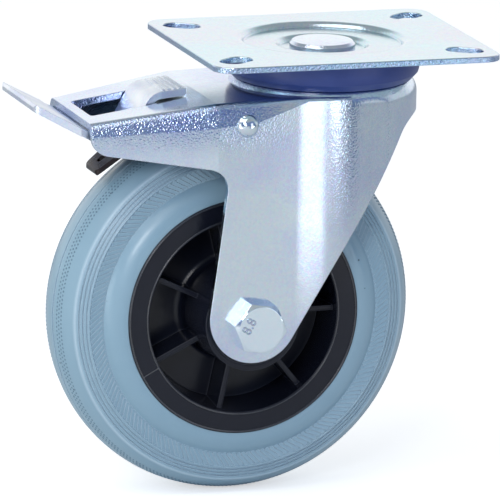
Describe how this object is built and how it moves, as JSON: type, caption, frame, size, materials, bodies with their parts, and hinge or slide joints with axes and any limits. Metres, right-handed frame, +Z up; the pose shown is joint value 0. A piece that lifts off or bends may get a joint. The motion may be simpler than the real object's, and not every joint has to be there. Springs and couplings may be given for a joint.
{
  "type": "swivel castor with wheel brake",
  "caption": "Swivel castor with a slotted top plate, ball-bearing swivel fork, rubber-tyred roller-bearing wheel and a foot-operated leaf brake.",
  "frame": {"origin": "centre of the top plate's mounting face, on the swivel axis", "axes": "+Z up out of the mounting face, +X along the plate's long side, -X towards the trailing wheel and brake, Y along the axle"},
  "size_m": [0.1563, 0.0905, 0.1525],
  "materials": {
    "zinc": "bright blue-passivated zinc plating on pressed steel",
    "seal": "moulded dark blue plastic",
    "balls": "polished hardened steel",
    "rim": "black moulded polypropylene",
    "tyre": "grey-blue non-marking rubber",
    "cage": "natural nylon",
    "leaf": "blackened spring steel"
  },
  "bodies": {
    "plate": {"top_plate": "zinc", "kingpin": "zinc", "lower_race": "zinc", "dust_seal": "seal"},
    "upper_ring": {"upper_balls": "balls"},
    "lower_ring": {"lower_balls": "balls"},
    "fork": {"swivel_fork": "zinc", "axle_bolt": "zinc", "axle_washer": "zinc", "axle_nut": "zinc", "axle_sleeve": "zinc", "brake_pin": "zinc"},
    "wheel": {"wheel_rim": "rim", "tyre": "tyre", "hub_cap_near": "rim", "hub_cap_far": "rim"},
    "roller_ring": {"bearing_cage": "cage", "bearing_rollers": "balls"},
    "pedal": {"brake_pedal": "zinc"},
    "leaf": {"brake_leaf": "leaf"}
  },
  "joints": [
    {"name": "swivel", "type": "hinge", "parent": "plate", "child": "fork", "pos_m": [0, 0, -0.01], "axis": [0, 0, 1], "continuous": true},
    {"name": "upper_ball_orbit", "type": "hinge", "parent": "plate", "child": "upper_ring", "pos_m": [0, 0, -0.007], "axis": [0, 0, 1], "continuous": true},
    {"name": "lower_ball_orbit", "type": "hinge", "parent": "plate", "child": "lower_ring", "pos_m": [0, 0, -0.016], "axis": [0, 0, 1], "continuous": true},
    {"name": "wheel_spin", "type": "hinge", "parent": "fork", "child": "wheel", "pos_m": [-0.032, 0, -0.09], "axis": [0, 1, 0], "continuous": true},
    {"name": "roller_orbit", "type": "hinge", "parent": "fork", "child": "roller_ring", "pos_m": [-0.032, 0, -0.09], "axis": [0, 1, 0], "continuous": true},
    {"name": "pedal_rock", "type": "hinge", "parent": "fork", "child": "pedal", "pos_m": [-0.05943, 0, -0.02017], "axis": [0, -1, 0], "range_deg": [0, 12.2]},
    {"name": "leaf_press", "type": "hinge", "parent": "fork", "child": "leaf", "pos_m": [-0.036, 0, -0.02202], "axis": [0, -1, 0], "range_deg": [0, 6]}
  ],
  "couplings": [
    {"joint": "upper_ball_orbit", "follows": "swivel", "ratio": 0.5},
    {"joint": "lower_ball_orbit", "follows": "swivel", "ratio": 0.5},
    {"joint": "roller_orbit", "follows": "wheel_spin", "ratio": 0.6073},
    {"joint": "leaf_press", "follows": "pedal_rock", "ratio": 0.4918}
  ]
}
